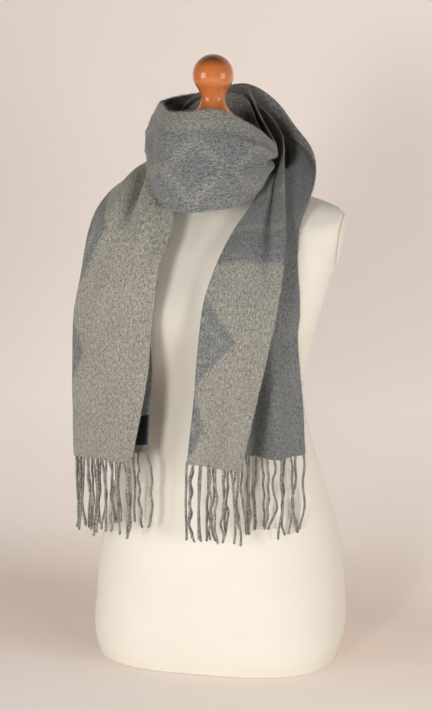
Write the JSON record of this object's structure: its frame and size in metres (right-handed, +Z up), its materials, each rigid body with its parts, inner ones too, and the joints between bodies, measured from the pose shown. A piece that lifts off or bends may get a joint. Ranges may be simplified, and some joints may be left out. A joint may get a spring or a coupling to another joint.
{
  "type": "fringed scarf on a limbless dress form",
  "caption": "Fringed cashmere scarf folded lengthwise and wound round the neck of a limbless dress form with a turned wooden neck knob.",
  "frame": {"origin": "on the floor, at the middle of the dress form's flat base", "axes": "+Z up, -Y towards the form's front, +X towards the form's own left, which is on the viewer's right"},
  "size_m": [0.4036, 0.3192, 0.9311],
  "materials": {
    "cashmere": "brushed double-faced woven wool, light taupe grey on one face and blue-grey on the other",
    "jersey": "smooth matte cream jersey stretched over the form",
    "wood": "turned wood with an orange-brown gloss varnish",
    "ribbon": "woven black ribbon, blank"
  },
  "bodies": {
    "root": {"form_torso": "jersey", "armhole_plate_left": "jersey", "armhole_plate_right": "jersey", "neck_knob": "wood", "scarf_tail_left": "cashmere", "scarf_wrap_inner": "cashmere", "scarf_front_panel": "cashmere", "scarf_wrap_outer": "cashmere", "scarf_tail_right": "cashmere", "fringe_left": "cashmere", "fringe_right": "cashmere", "label": "ribbon"}
  },
  "joints": []
}
